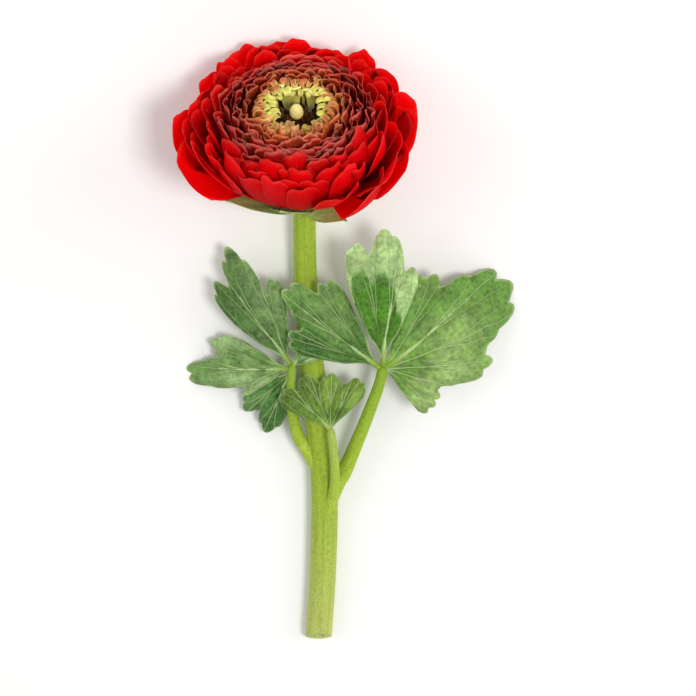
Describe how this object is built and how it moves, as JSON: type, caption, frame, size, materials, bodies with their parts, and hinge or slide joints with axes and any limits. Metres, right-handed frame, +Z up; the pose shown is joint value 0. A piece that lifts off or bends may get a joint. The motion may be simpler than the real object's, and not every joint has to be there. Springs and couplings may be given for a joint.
{
  "type": "ranunculus flower",
  "caption": "Cut double ranunculus: a full bowl of layered red petals round a green centre, on a curved stem with lobed leaves, lying down.",
  "frame": {"origin": "on the surface that the flower lies on, under the middle of its overall box", "axes": "+Y runs along the flower from the cut end of its stem to its bloom, +Z is up from the surface, and +X is to the right of the bloom as seen from above"},
  "size_m": [0.0954, 0.175, 0.0497],
  "materials": {
    "red_petal": "satin petal",
    "maroon_petal": "satin petal",
    "green_petal": "waxy petal",
    "pale_tip": "waxy",
    "sepal_skin": "downy leaf",
    "stem_skin": "smooth, downy",
    "leaf_skin": "satin leaf"
  },
  "bodies": {
    "root": {"red_petals": "red_petal", "maroon_petals": "maroon_petal", "green_petals": "green_petal", "pistil": "pale_tip", "calyx": "sepal_skin", "stem": "stem_skin", "leaf_right": "leaf_skin", "leaf_left": "leaf_skin", "leaf_small": "leaf_skin"}
  },
  "joints": []
}
